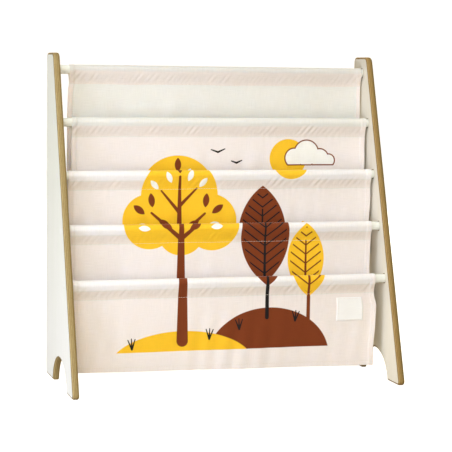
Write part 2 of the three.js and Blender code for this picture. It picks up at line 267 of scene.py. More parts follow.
def colour(red, green, blue):
    """A colour from sRGB values of 0 to 255"""
    def linear(value):
        share = value / 255
        return share / 12.92 if share <= 0.04045 else ((share + 0.055) / 1.055) ** 2.4
    return (linear(red), linear(green), linear(blue), 1.0)


# Printed picture: a tree, two leaf trees, hills, grass, a cloud, birds and the sun, in four flat inks

INK_YELLOW = colour(253, 200, 45)
INK_BROWN = colour(127, 59, 24)
INK_BLACK = colour(27, 24, 26)
INK_WHITE = colour(252, 251, 248)
INK_EDGE = 0.25 * MM
PICTURE_LEAN = 0.15
PICTURE_BASE = 64


class Picture(Graph):
    """A material's graph that also draws flat shapes on the front of the cloth, in millimetres across
    from its middle and up from the floor"""

    def start(self, cloth):
        x, y, z = self.split(self.place())
        self.across = self.math("DIVIDE", self.math("MULTIPLY_ADD", y, -PICTURE_LEAN, x), MM)
        self.up = self.math("DIVIDE", z, MM)
        self.spot = self.combine(self.across, self.up)
        self.result = cloth
        self.inked = 0.0

    def disc(self, x, z, radius):
        return self.math("SUBTRACT", self.vector("DISTANCE", self.spot, (x, z, 0)), radius)

    def oval(self, x, z, half_width, half_height):
        moved = self.vector("SUBTRACT", self.spot, (x, z, 0))
        scaled = self.vector("MULTIPLY", moved, (1 / half_width, 1 / half_height, 0))
        size = min(half_width, half_height)
        return self.math("MULTIPLY_ADD", self.vector("LENGTH", scaled), size, -size)

    def limb(self, start, end, start_radius, end_radius):
        (x0, z0), (x1, z1) = start, end
        run = (x1 - x0, z1 - z0, 0)
        length_squared = run[0] ** 2 + run[1] ** 2
        moved = self.vector("SUBTRACT", self.spot, (x0, z0, 0))
        along = self.math("DIVIDE", self.vector("DOT_PRODUCT", moved, run), length_squared, clamp=True)
        nearest = self.vector("MULTIPLY", run, self.combine(along, along))
        radius = self.math("MULTIPLY_ADD", along, end_radius - start_radius, start_radius)
        return self.math("SUBTRACT", self.vector("DISTANCE", moved, nearest), radius)

    def leaf(self, x, z, length, width, lean):
        """A pointed leaf about its middle, leaning by that many degrees from upright"""
        radius = (length ** 2 + width ** 2) / (4 * width)
        offset = radius - width / 2
        angle = math.radians(lean)
        side_x, side_z = math.cos(angle) * offset, -math.sin(angle) * offset
        one = self.vector("DISTANCE", self.spot, (x + side_x, z + side_z, 0))
        other = self.vector("DISTANCE", self.spot, (x - side_x, z - side_z, 0))
        return self.math("SUBTRACT", self.both(one, other), radius)

    def veins(self, x, pitch, width, rise):
        """Lines that climb on both sides of a stem"""
        aside = self.math("ABSOLUTE", self.math("SUBTRACT", self.across, x))
        climbed = self.math("MULTIPLY_ADD", aside, -rise, self.up)
        step = self.math("FRACT", self.math("DIVIDE", climbed, pitch))
        from_line = self.math("ABSOLUTE", self.math("SUBTRACT", step, 0.5))
        return self.math("MULTIPLY_ADD", from_line, pitch, -width)

    def either(self, *shapes):
        whole = shapes[0]
        for shape in shapes[1:]:
            whole = self.math("MINIMUM", whole, shape)
        return whole

    def both(self, first, second):
        return self.math("MAXIMUM", first, second)

    def above(self, z):
        return self.math("SUBTRACT", z, self.up)

    def ink(self, shape, tint):
        edge = INK_EDGE / MM
        cover = self.between(shape, -edge, edge, 1.0, 0.0)
        self.result = self.mix(cover, self.result, tint)
        self.inked = self.math("MAXIMUM", self.inked, cover)

    def leaf_tree(self, x, foot, middle, length, width, tint, line):
        crown = self.leaf(x, middle, length, width, 0)
        self.ink(self.limb((x, foot), (x, middle), 3.6, 3.0), line)
        self.ink(crown, tint)
        stem = self.limb((x, foot), (x, middle + length / 4), 3.2, 1.4)
        inner = self.math("ADD", crown, 5.0)
        veins = self.both(self.veins(x, pitch=17.0, width=1.5, rise=0.75), inner)
        self.ink(self.either(stem, veins), line)


def draw_picture(picture, cloth):
    picture.start(cloth)
    ink, leaf, limb, disc = picture.ink, picture.leaf, picture.limb, picture.disc

    ink(disc(128, 402, 36), INK_YELLOW)
    cloud = picture.either(disc(140, 403, 17), disc(164, 412, 23), disc(190, 402, 17), disc(208, 398, 11))
    cloud = picture.both(cloud, picture.above(391))
    ink(picture.math("SUBTRACT", cloud, 2.4), INK_BROWN)
    ink(cloud, INK_WHITE)

    ink(picture.both(picture.oval(78, 46, 116, 92), picture.above(PICTURE_BASE)), INK_BROWN)
    picture.leaf_tree(74, 120, 266, 176, 92, INK_BROWN, INK_BLACK)
    picture.leaf_tree(153, 92, 222, 132, 70, INK_YELLOW, INK_BROWN)
    ink(picture.both(picture.oval(-84, 36, 134, 64), picture.above(PICTURE_BASE)), INK_YELLOW)

    crown = picture.either(disc(-84, 336, 72), disc(-142, 292, 48), disc(-26, 290, 50), disc(-84, 276, 44))
    ink(crown, INK_YELLOW)
    ink(limb((-84, 82), (-84, 262), 10.5, 6.0), INK_BROWN)
    branches = [((-84, 250), (-84, 372), 5.5, 2.2), ((-84, 262), (-136, 306), 4.4, 2.0),
                ((-84, 262), (-36, 304), 4.4, 2.0), ((-84, 306), (-118, 346), 3.4, 1.6),
                ((-84, 318), (-52, 350), 3.4, 1.6)]
    ink(picture.either(*(limb(*branch) for branch in branches)), INK_BROWN)
    brown_leaves = [(-159, 312, 26, 12, -52), (-136, 329, 26, 12, -8), (-112, 287, 24, 11, -62),
                    (-12, 312, 26, 12, 54), (-34, 328, 26, 12, 6), (-58, 285, 24, 11, 64),
                    (-84, 391, 26, 12, 0)]
    ink(picture.either(*(leaf(*place) for place in brown_leaves)), INK_BROWN)
    white_leaves = [(-131, 357, -42), (-104, 371, -24), (-40, 361, 40), (-64, 374, 22), (-152, 282, -84),
                    (-18, 284, 86)]
    ink(picture.either(*(leaf(x, z, 22, 10, lean) for x, z, lean in white_leaves)), INK_WHITE)

    tufts = []
    for x, z, lean in ((-176, 74, -4), (-34, 88, 3), (22, 104, -3), (128, 116, 5)):
        for spread in (-26, 0, 26):
            angle = math.radians(lean + spread)
            tip = (x + 15 * math.sin(angle), z + 15 * math.cos(angle))
            tufts.append(limb((x, z - 4), tip, 1.7, 0.9))
    ink(picture.either(*tufts), INK_BLACK)
    for x, z, size in ((-8, 414, 13), (28, 394, 10)):
        left = limb((x - size, z + size * 0.35), (x, z), 1.0, 1.9)
        right = limb((x + size, z + size * 0.45), (x, z), 1.0, 1.9)
        ink(picture.either(left, right), INK_BLACK)
    return picture.result, picture.inked


# Materials

CANVAS = colour(243, 236, 237)
# Whiter over the lower rods: a painted highlight, for light that the white rod throws back through the
# cloth
HIGHLIT_ROD_CANVAS = colour(244, 242, 247)
# Greyer: painted light on the top panel's wall, whose single sheet is seen against the light, and painted
# shade over the second rod
GREYED_BY_LIGHT_CANVAS = colour(231, 232, 232)
# Painted shade on each casing's flat sides below its rod
SHADED_CASING_CANVAS = colour(236, 228, 226)
# Painted shade over the top rod
SHADED_TOP_ROD_CANVAS = colour(222, 222, 223)
RAW_CANVAS = colour(238, 233, 223)
TONES = (SHADED_TOP_ROD_CANVAS, SHADED_CASING_CANVAS, GREYED_BY_LIGHT_CANVAS, CANVAS, HIGHLIT_ROD_CANVAS)

# The cloth over each rod, from the top one: between which heights over the rod's axis, in rod radii,
# it takes on its tone, and that tone: painted shade over the top two rods, a painted highlight over the
# others
ROD_BANDS = [(-0.5, 0.2, SHADED_TOP_ROD_CANVAS), (-1.0, -0.5, GREYED_BY_LIGHT_CANVAS)] + 3 * [(-1.3, -0.9, HIGHLIT_ROD_CANVAS)]
YARN_PITCH = 0.62 * MM
GLOW_REACH = (1.0, 0.85, 0.7)
GLOW_DEPTH = 0.9 * MM
EDGE_PLY = 2.9 * MM
EDGE_WANDER = 0.9 * MM
# Painted shade on the bare edges: the span, from the board's middle towards its right face, over which it
# comes in
EDGE_SHADE_SPAN = (-0.5 * MM, 4 * MM)
THREAD_TWIST = 0.55 * MM
LABEL_RIB = 0.5 * MM


def canvas(name, printed=False, raw=False):
    """Woven cotton. Its face has the pale ground and may be printed, and its reverse is raw."""
    g = Picture(name) if printed else Graph(name)
    across, along, tone = g.split(g.attribute("cloth"))
    flat = g.combine(across, along)
    # The tones paint light and shade onto the cloth: shade on the casings and top rods, a highlight over
    # the lower rods and a greyer top panel
    tint = RAW_CANVAS if raw else TONES[0]
    if not raw:
        for step, following in enumerate(TONES[1:]):
            tint = g.mix(g.between(tone, step, step + 1), tint, following)
    stains = g.noise(flat, 9.0, 3.0)
    tint = g.mix(g.between(stains, 0.3, 0.7, 0.0, 0.06), tint, colour(214, 196, 180))
    warp = g.noise(g.stretch(flat, 1500, 45, 1), 1.0, 1.0)
    weft = g.noise(g.stretch(flat, 45, 1500, 1), 1.0, 1.0)
    yarn = g.math("ADD", warp, weft)
    rough = 0.93
    if printed:
        tint, inked = draw_picture(g, tint)
        rough = g.math("SUBTRACT", rough, g.math("MULTIPLY", inked, 0.13))
    slub = g.between(yarn, 0.75, 1.25, 0.955, 1.03)
    tint = g.mix(1.0, tint, g.combine(slub, slub, slub), "MULTIPLY")
    checker = g.math("ABSOLUTE", g.math("SUBTRACT", g.wave(across, YARN_PITCH), g.wave(along, YARN_PITCH)))
    relief = g.math("MULTIPLY_ADD", yarn, 0.6, checker)
    return g.finish(Base_Color=tint, Roughness=rough, Specular_IOR_Level=0.18, Sheen_Weight=0.08,
                    Sheen_Roughness=0.5, Subsurface_Weight=0.45, Subsurface_Radius=GLOW_REACH,
                    Subsurface_Scale=GLOW_DEPTH, Normal=g.bump(relief, 0.12 * MM, 0.55))


def painted_board(name, light, dark, upper_shade):
    """White paint over a visible grain, with painted shade: each channel is darker on the upper part, by a
    share of its own.
    """
    g = Graph(name)
    place = g.place()
    _, _, height = g.split(place)
    grain = g.noise(g.stretch(place, 1, 160, 5), 1.0, 4.0, 0.6)
    broad = g.noise(g.stretch(place, 1, 24, 4), 1.0, 2.0)
    tint = g.mottled(grain, light, dark, 0.7)
    tint = g.mix(g.between(broad, 0.4, 0.7, 0.0, 0.6), tint, dark)
    # Painted shade on the upper part of the board
    raised = g.between(height, 0.15 * HEIGHT, 0.65 * HEIGHT)
    tint = g.mix(raised, tint, g.mix(1.0, tint, (*upper_shade, 1), "MULTIPLY"))
    relief = g.math("MULTIPLY_ADD", grain, 0.5, g.noise(place, 1400.0))
    return g.finish(Base_Color=tint, Roughness=g.between(broad, 0.3, 0.7, 0.40, 0.50),
                    Specular_IOR_Level=0.4, Normal=g.bump(relief, 0.05 * MM, 0.5))


def bare_edge():
    """The cut edge of plywood with its plies side by side, with painted shade towards the board's right
    face
    """
    g = Graph("bare_edge")
    place = g.place()
    x, _, _ = g.split(place)
    wander = g.noise(g.stretch(place, 90, 12, 12), 1.0)
    plies = g.wave(g.math("MULTIPLY_ADD", wander, EDGE_WANDER, g.math("ABSOLUTE", x)), EDGE_PLY)
    fibre = g.noise(g.stretch(place, 900, 55, 55), 1.0, 3.0, 0.65)
    pores = g.noise(g.stretch(place, 1100, 320, 320), 1.0)
    tint = g.mix(g.between(plies, 0.25, 0.75), colour(166, 146, 100), colour(140, 117, 72))
    tint = g.mix(g.between(fibre, 0.42, 0.7, 0.0, 0.45), tint, colour(182, 163, 116))

    # Painted shade: the right board's edge is browner, and each edge is darker towards the board's right
    # face, which the light reaches less
    right_board = g.math("GREATER_THAN", x, 0.0)
    tint = g.mix(right_board, tint, g.mix(1.0, tint, (0.97, 0.86, 0.72, 1), "MULTIPLY"))
    middle = g.math("MULTIPLY", g.math("SIGN", x), (INNER_X + OUTER_X) / 2)
    shaded_side = g.between(g.math("SUBTRACT", x, middle), *EDGE_SHADE_SPAN)
    shade = g.math("MULTIPLY", shaded_side, g.between(right_board, 0, 1, 0.35, 0.9))
    tint = g.mix(shade, tint, colour(112, 96, 46))
    tint = g.mix(g.between(pores, 0.58, 0.72, 0.0, 0.5), tint, colour(104, 80, 44))
    relief = g.math("ADD", fibre, g.math("MULTIPLY", pores, 0.6))
    return g.finish(Base_Color=tint, Roughness=0.66, Specular_IOR_Level=0.3,
                    Normal=g.bump(relief, 0.12 * MM, 0.6))


def rod_paint():
    g = Graph("rod_paint")
    place = g.place()
    streak = g.noise(g.stretch(place, 10, 150, 150), 1.0, 3.0)
    return g.finish(Base_Color=g.mottled(streak, colour(243, 246, 245), colour(233, 238, 236)),
                    Roughness=g.between(streak, 0.3, 0.7, 0.2, 0.3), Coat_Weight=0.35, Coat_Roughness=0.12,
                    Normal=g.bump(g.noise(place, 700.0), 0.05 * MM, 0.35))


def cap_plastic():
    g = Graph("cap_plastic")
    place = g.place()
    cloudy = g.noise(place, 260.0)
    return g.finish(Base_Color=g.mottled(cloudy, colour(243, 243, 239), colour(236, 236, 230)),
                    Roughness=g.between(cloudy, 0.3, 0.7, 0.34, 0.44),
                    Normal=g.bump(g.noise(place, 2600.0), 0.03 * MM, 0.4))


def turned_metal(name, light, dark, rough):
    g = Graph(name)
    place = g.place()
    rings = g.noise(g.stretch(place, 2400, 60, 60), 1.0)
    worn = g.noise(place, 500.0, 3.0)
    return g.finish(Base_Color=g.mottled(worn, light, dark), Metallic=1.0,
                    Roughness=g.between(rings, 0.3, 0.7, rough, rough + 0.14),
                    Normal=g.bump(rings, 0.02 * MM, 0.5))


def sewing_thread():
    g = Graph("sewing_thread")
    x, y, z = g.split(g.place())
    twist = g.wave(g.math("ADD", x, g.math("ADD", y, z)), THREAD_TWIST)
    tint = g.mix(g.between(twist, 0.2, 0.8), colour(214, 202, 190), colour(250, 244, 238))
    return g.finish(Base_Color=tint, Roughness=0.7, Sheen_Weight=0.2, Normal=g.bump(twist, 0.08 * MM, 0.6))


def label_satin():
    g = Graph("label_satin")
    across, along, _ = g.split(g.attribute("cloth"))
    yarn = g.noise(g.stretch(g.combine(across, along), 60, 2400, 1), 1.0)
    relief = g.math("MULTIPLY_ADD", yarn, 0.5, g.wave(along, LABEL_RIB))
    return g.finish(Base_Color=g.mottled(yarn, colour(250, 252, 255), colour(243, 245, 252)),
                    Roughness=g.between(yarn, 0.3, 0.7, 0.48, 0.6), Sheen_Weight=0.3,
                    Normal=g.bump(relief, 0.06 * MM, 0.5))


# Meshes

def add_mesh(name, vertices, faces, materials):
    mesh = bpy.data.meshes.new(name)
    mesh.from_pydata([tuple(v) for v in vertices], [], [tuple(f) for f in faces])
    mesh.polygons.foreach_set("use_smooth", np.ones(len(mesh.polygons), bool))
    for material in materials:
        mesh.materials.append(material)
    piece = bpy.data.objects.new(name, mesh)
    bpy.context.scene.collection.objects.link(piece)
    return piece


def add_piece(name, vertices, faces, materials, face_materials=None, flat_faces=(), cloth=None):
    piece = add_mesh(name, vertices, faces, materials)
    mesh = piece.data
    for face in flat_faces:
        mesh.polygons[face].use_smooth = False
    if face_materials is not None:
        mesh.polygons.foreach_set("material_index", np.asarray(face_materials, np.int32))
    if cloth is not None:
        layer = mesh.attributes.new("cloth", "FLOAT_VECTOR", "POINT")
        layer.data.foreach_set("vector", np.asarray(cloth, np.float32).ravel())
    mesh.update()
    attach(piece, BODY)
    return piece


def lathe(profile, sides):
    """Vertices and faces of a solid turned about X. The profile is (radius, x) pairs from axis to axis."""
    vertices = []
    rings = []
    for radius, x in profile:
        if radius == 0:
            rings.append([len(vertices)] * sides)
            vertices.append((x, 0, 0))
            continue
        rings.append(list(range(len(vertices), len(vertices) + sides)))
        for side in range(sides):
            angle = 2 * math.pi * side / sides
            vertices.append((x, radius * math.cos(angle), radius * math.sin(angle)))
    faces = []
    for ring, following in zip(rings, rings[1:]):
        for side in range(sides):
            ahead = (side + 1) % sides
            corners = [ring[side], ring[ahead], following[ahead], following[side]]
            faces.append(list(dict.fromkeys(corners)))
    return vertices, faces


def round_over(radius, steps):
    """How far a rounded edge is in from the side, and how deep, from the end face to the side"""
    angles = [math.pi / 2 * step / steps for step in range(steps + 1)]
    return [(radius * (1 - math.sin(angle)), radius * (1 - math.cos(angle))) for angle in angles]


def add_turned(name, profile, sides, place, side, material, sharp_from):
    """Adds a piece turned about the X axis through a place, its profile facing left where side is -1"""
    vertices, faces = lathe(profile, sides)
    if side < 0:
        faces = [face[::-1] for face in faces]
    x, y, z = place
    placed = [(x + side * vx, vy + y, vz + z) for vx, vy, vz in vertices]
    piece = add_piece(name, placed, faces, [material])
    piece.data.set_sharp_from_angle(angle=math.radians(sharp_from))
    return piece


# Side boards

CORNER_STEPS = 14
ARCH_STEPS = 72
ROUND_STEPS = 8
BORE_SIDES = 48
SOCKET_BEVEL = 1.1 * MM
SLIVER = 1e-14
OUTSIDE, BARE, INSIDE = range(3)


def round_corner(before, corner, after, radius):
    before, corner, after = Vector(before), Vector(corner), Vector(after)
    to_before = (before - corner).normalized()
    to_after = (after - corner).normalized()
    half = to_before.angle(to_after) / 2
    centre = corner + (to_before + to_after).normalized() * radius / math.sin(half)
    start = corner + to_before * radius / math.tan(half) - centre
    sweep = math.pi - 2 * half
    points = []
    for step in range(CORNER_STEPS + 1):
        turned = Matrix.Rotation(sweep * step / CORNER_STEPS, 2) @ start
        points.append(tuple(centre + turned))
    return points


def board_outline():
    """The board's outline in (y, z), turning left all the way round"""
    arch_rear, arch_front = REAR - REAR_FOOT, REAR - REAR_FOOT - ARCH_SPAN
    corners = [(arch_rear, 0), (REAR, 0), (REAR, HEIGHT), (REAR - TOP_DEPTH, HEIGHT), (FRONT_FOOT, 0),
               (arch_front, 0)]
    radii = (FOOT_RADIUS, TOP_REAR_RADIUS, TOP_FRONT_RADIUS, FOOT_RADIUS)
    points = [corners[0]]
    for before, corner, after, radius in zip(corners, corners[1:], corners[2:], radii):
        points += round_corner(before, corner, after, radius)
    points.append(corners[-1])
    half_height = ARCH_RISE + ARCH_DROP
    end_angle = math.asin(ARCH_DROP / half_height)
    half_width = ARCH_SPAN / 2 / math.cos(end_angle)
    middle = (arch_front + arch_rear) / 2
    for step in range(1, ARCH_STEPS):
        angle = math.pi - end_angle - (math.pi - 2 * end_angle) * step / ARCH_STEPS
        points.append((middle + half_width * math.cos(angle), half_height * math.sin(angle) - ARCH_DROP))
    return np.array(points)


def inset(outline, distance):
    """The outline moved inwards, mitred at its corners"""
    ahead = np.roll(outline, -1, axis=0) - outline
    ahead /= np.linalg.norm(ahead, axis=1)[:, None]
    behind = np.roll(ahead, 1, axis=0)
    inward = np.stack([-ahead[:, 1] - behind[:, 1], ahead[:, 0] + behind[:, 0]], axis=1)
    inward /= np.linalg.norm(inward, axis=1)[:, None]
    cosine = inward[:, 0] * -ahead[:, 1] + inward[:, 1] * ahead[:, 0]
    return outline + inward * (distance / cosine)[:, None]


def circle(y, z, radius):
    angles = 2 * np.pi * np.arange(BORE_SIDES) / BORE_SIDES
    return np.stack([y + radius * np.cos(angles), z + radius * np.sin(angles)], axis=1)


class BoardMesh:
    """One side board: rings round its edge, flat faces with holes, and the walls of its bores"""

    def __init__(self, side):
        self.side = side
        self.vertices = []
        self.faces = []
        self.surfaces = []
        self.flat = []

    def ring(self, points, x):
        first = len(self.vertices)
        self.vertices += [(self.side * x, y, z) for y, z in points]
        return list(range(first, first + len(points)))

    def add(self, corners, surface, flat):
        if self.side > 0:
            corners = corners[::-1]
        if flat:
            self.flat.append(len(self.faces))
        self.faces.append(corners)
        self.surfaces.append(surface)

    def wall(self, ring, following, flat=False):
        for index in range(len(ring)):
            ahead = (index + 1) % len(ring)
            self.add([ring[index], ring[ahead], following[ahead], following[index]], BARE, flat)

    def flat_face(self, outer, holes, outwards):
        """A flat face with holes, as triangles. Slivers without an area are left out."""
        rings = [outer] + holes
        points = [[Vector((self.vertices[i][1], self.vertices[i][2], 0)) for i in ring] for ring in rings]
        names = [i for ring in rings for i in ring]
        for triangle in tessellate_polygon(points):
            a, b, c = (names[i] for i in triangle)
            (_, ay, az), (_, by, bz), (_, cy, cz) = (self.vertices[i] for i in (a, b, c))
            area = (by - ay) * (cz - az) - (bz - az) * (cy - ay)
            if abs(area) > SLIVER:
                corners = [a, b, c] if (area > 0) != outwards else [a, c, b]
                self.add(corners, OUTSIDE if outwards else INSIDE, True)


def build_board(name, side, materials):
    outline = board_outline()
    board = BoardMesh(side)
    curve = round_over(EDGE_ROUND, ROUND_STEPS)
    levels = [(inwards, OUTER_X - depth) for inwards, depth in curve]
    levels += [(inwards, INNER_X + depth) for inwards, depth in reversed(curve)]
    rings = [board.ring(inset(outline, inwards), x) for inwards, x in levels]
    for ring, following in zip(rings, rings[1:]):
        board.wall(ring, following)

    outer_holes, inner_holes = [], []
    socket_radius = ROD_RADIUS + SLIP
    for y, z in RODS:
        floor, seat = OUTER_X - COUNTERBORE_DEPTH, INNER_X + SOCKET_DEPTH
        steps = [(COUNTERBORE_RADIUS, OUTER_X), (COUNTERBORE_RADIUS, floor), (SCREW_HOLE_RADIUS, floor),
                 (SCREW_HOLE_RADIUS, seat), (socket_radius, seat), (socket_radius, INNER_X + SOCKET_BEVEL),
                 (socket_radius + SOCKET_BEVEL, INNER_X)]
        bore = [board.ring(circle(y, z, radius), x) for radius, x in steps]
        for ring, following in zip(bore, bore[1:]):
            board.wall(following, ring, flat=True)
        outer_holes.append(bore[0])
        inner_holes.append(bore[-1])
    board.flat_face(rings[0], outer_holes, outwards=True)
    board.flat_face(rings[-1], inner_holes, outwards=False)
    return add_piece(name, board.vertices, board.faces, materials, board.surfaces, board.flat)


# Rods and caps

ROD_SIDES = 64
ROD_CHAMFER_STEPS = 4
ROD_SHARP = 40
CAP_SIDES = 48
CAP_SHARP = 35
CROWN_STEPS = 7
CROWN_SHARE = 0.93


def build_rod(number, paint):
    y, z = RODS[number - 1]
    insert_low, insert_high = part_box(f"rod_insert_right_{number}")
    flange_radius = (insert_high.z - insert_low.z) / 2 + SLIP
    bore_floor = insert_low.x - SLIP
    chamfer = round_over(ROD_CHAMFER, ROD_CHAMFER_STEPS)
    half = [(0, bore_floor), (flange_radius, bore_floor), (flange_radius, ROD_HALF_LENGTH)]
    half += [(ROD_RADIUS - inwards, ROD_HALF_LENGTH - depth) for inwards, depth in chamfer]
    profile = [(radius, -x) for radius, x in half] + [(radius, x) for radius, x in reversed(half)]
    piece = add_turned(f"painted_rod_{number}", profile, ROD_SIDES, (0, y, z), 1, paint, ROD_SHARP)
    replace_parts(piece, f"rod_{number}")


def build_cap(name, side, plastic):
    low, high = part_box(name)
    radius = (high.z - low.z) / 2
    plug_radius = COUNTERBORE_RADIUS - SLIP
    plug_end, top = sorted(abs(end.x) - OUTER_X for end in (low, high))
    shoulder = SLIP + CAP_RIM
    profile = [(0, plug_end), (plug_radius, plug_end), (plug_radius, SLIP), (radius - CAP_RIM / 2, SLIP),
               (radius, SLIP + CAP_RIM / 2), (radius - CAP_RIM / 4, shoulder)]
    for step in range(1, CROWN_STEPS + 1):
        share = 1 - step / CROWN_STEPS
        height = shoulder + (top - shoulder) * math.cos(share * math.pi / 2)
        profile.append((radius * CROWN_SHARE * share, height))
    middle = (side * OUTER_X, (low.y + high.y) / 2, (low.z + high.z) / 2)
    piece = add_turned(f"cover_{name}", profile, CAP_SIDES, middle, side, plastic, CAP_SHARP)
    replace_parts(piece, name)


# Cloth. Each panel is one sheet: it starts behind its rod, goes over it, is sewn to itself below it
# and hangs down as the rear wall of a pocket. Panels 1 to 4 then turn forward and go up again as
# the pocket's front wall, to the seam of the next rod. Panel 5 is the flap with a folded hem.

# How finely a panel is divided along its length, and how far below its rod the finer steps go
SIDE_STEPS = 16
WRAP_STEPS = 24
TURN_STEPS = 18
FOLD_STEPS = 8
SEAM_STEP = 1.5 * MM
NECK_STEP = 2.5 * MM
UPPER_STEP = 2 * MM
MIDDLE_STEP = 3 * MM
LOWER_STEP = 6 * MM
UPPER_DEPTH = 60 * MM
MIDDLE_DEPTH = 105 * MM
HEM_COLUMNS = np.array([0, 0.12, 0.34, 0.67, 1])

# The print starts on the casing, this far before the seam, and the top panel's greyer tone after it,
# painted light for its single sheet seen against the light
PRINT_LEAD = 60 * MM
GREYED_FROM = 1 * MM


def ripple(x, pitch, seed):
    """A smooth uneven wave of about that pitch, mostly from -1 to 1"""
    draw = random.Random(seed)
    waves, peak = 5, 3.2
    total = np.zeros_like(x)
    for _ in range(waves):
        length = pitch * draw.uniform(0.62, 1.7)
        total += np.sin(2 * np.pi * (x / length + draw.random()))
    return total / peak


def smooth(low, high, value):
    share = np.clip((value - low) / (high - low), 0, 1)
    return share * share * (3 - 2 * share)


def hanging(rod, share, across, below):
    """How far the cloth under a rod stands out to the rear, at that share of its width and depth below"""
    turn = FOLDS_ACROSS[rod] * share + FOLD_START[rod]
    main = FOLD_DEPTH * np.maximum(below, 0) / LONGEST_WALL * np.sin(2 * np.pi * turn)
    slanted = across + SOFT_FOLD_LEAN * below
    soft = SOFT_FOLD[0] * smooth(0, SOFT_FOLD_FADE, below) * ripple(slanted, SOFT_FOLD[1], SOFT_SEED + rod)
    near = np.exp(-np.abs(below) / PUCKER_REACH)
    pucker = PUCKER[0] * near * ripple(across, PUCKER[1], PUCKER_SEED + rod)
    return main + soft + pucker


def side_edge(rod, share, below):
    """How far the side edges swing outwards, towards +X, at a depth below the seam"""
    draw = random.Random(EDGE_SEED + rod)
    depth = np.clip(below, 0, None)
    swing = np.zeros_like(depth)
    for _ in range(EDGE_WAVE_COUNT):
        length = draw.uniform(*EDGE_WAVE_LENGTHS)
        swing += np.sin(2 * np.pi * depth / length + 2 * np.pi * draw.random())
    swing *= EDGE_SWING * smooth(0, EDGE_FADE, depth)
    right_swing, left_swing = swing, swing * LEFT_EDGE_SHARE
    if rod == 0:
        flare = sum(part * smooth(0, fade, depth) for part, fade in TOP_FLARE_FADES)
        left_swing = left_swing - TOP_FLARE * flare
    if rod == len(RODS) - 1:
        flare = smooth(*FLAP_FLARE_RISE, depth) * (1 - smooth(*FLAP_FLARE_FALL, depth))
        right_swing = swing + FLAP_FLARE * flare
    at_right, at_left = smooth(1 - EDGE_REACH, 1, share), 1 - smooth(0, EDGE_REACH, share)
    return right_swing * at_right + left_swing * at_left


class ClothPath:
    """A panel's middle line in the side view. The cloth's printed side is on the left of the way up."""

    def __init__(self, y, z):
        self.points = [(y, z)]

    def line(self, y, z, pitch):
        y0, z0 = self.points[-1]
        steps = max(1, round(math.hypot(y - y0, z - z0) / pitch))
        for step in range(1, steps + 1):
            self.points.append((y0 + (y - y0) * step / steps, z0 + (z - z0) * step / steps))

    def arc(self, y, z, half_y, half_z, start, end, steps):
        for step in range(1, steps + 1):
            angle = start + (end - start) * step / steps
            self.points.append((y + half_y * math.cos(angle), z + half_z * math.sin(angle)))


def casing_side(reach, neck_y):
    """Points from the rod's side down to the neck, where the cloth bellies a little"""
    points = []
    for step in range(1, SIDE_STEPS + 1):
        share = step / SIDE_STEPS
        drawn_in = (1 - CASING_BELLY) * share + CASING_BELLY * float(smooth(0, 1, share))
        points.append((reach + (neck_y - reach) * drawn_in, -CASING_NECK * share))
    return points


def panel_path(index):
    y, z = RODS[index]
    rear_y = y - PLY_PITCH
    path = ClothPath(y, z - CASING_DROP - CASING_TAIL)
    rear_side = [(WRAP_RADIUS, 0)] + casing_side(WRAP_RADIUS, 0)
    path.points += [(y + side_y, z + side_z) for side_y, side_z in reversed(rear_side)]
    path.arc(y, z, WRAP_RADIUS, WRAP_RADIUS, 0, math.pi, WRAP_STEPS)
    path.points += [(y + side_y, z + side_z) for side_y, side_z in casing_side(-WRAP_RADIUS, -PLY_PITCH)]
    path.line(rear_y, z - CASING_DROP, SEAM_STEP)
    path.seam = len(path.points) - 1
    path.line(rear_y, z - UPPER_DEPTH, UPPER_STEP)
    if index == len(RODS) - 1:
        fold = PLY_PITCH / 2
        foot = LOWEST_FOLD + PLY / 2 + fold
        path.line(rear_y, foot + BOTTOM_HEM, MIDDLE_STEP)
        path.line(rear_y, foot, SEAM_STEP)
        path.arc(y - fold, foot, fold, fold, -math.pi, 0, FOLD_STEPS)
        path.line(y, foot + BOTTOM_HEM, SEAM_STEP)
        return path

    next_y, next_z = RODS[index + 1]
    front_y = next_y + PLY_PITCH
    bottom = next_z - POCKET_DROP + PLY / 2
    path.line(rear_y, z - MIDDLE_DEPTH, MIDDLE_STEP)
    turn, fold = REAR_TURN_HEIGHT, FRONT_FOLD_RADIUS
    fold_y = front_y + fold
    path.line(rear_y, bottom + turn, LOWER_STEP)
    path.arc(fold_y, bottom + turn, rear_y - fold_y, turn, 0, -math.pi / 2, TURN_STEPS)
    path.arc(fold_y, bottom + fold, fold, fold, -math.pi / 2, -math.pi, FOLD_STEPS)
    if index == len(RODS) - 2:
        path.line(front_y, bottom + fold + BOTTOM_HEM, SEAM_STEP)
        return path
    path.line(front_y, next_z - UPPER_DEPTH, LOWER_STEP)
    path.line(front_y, next_z - CASING_NECK, NECK_STEP)
    return path


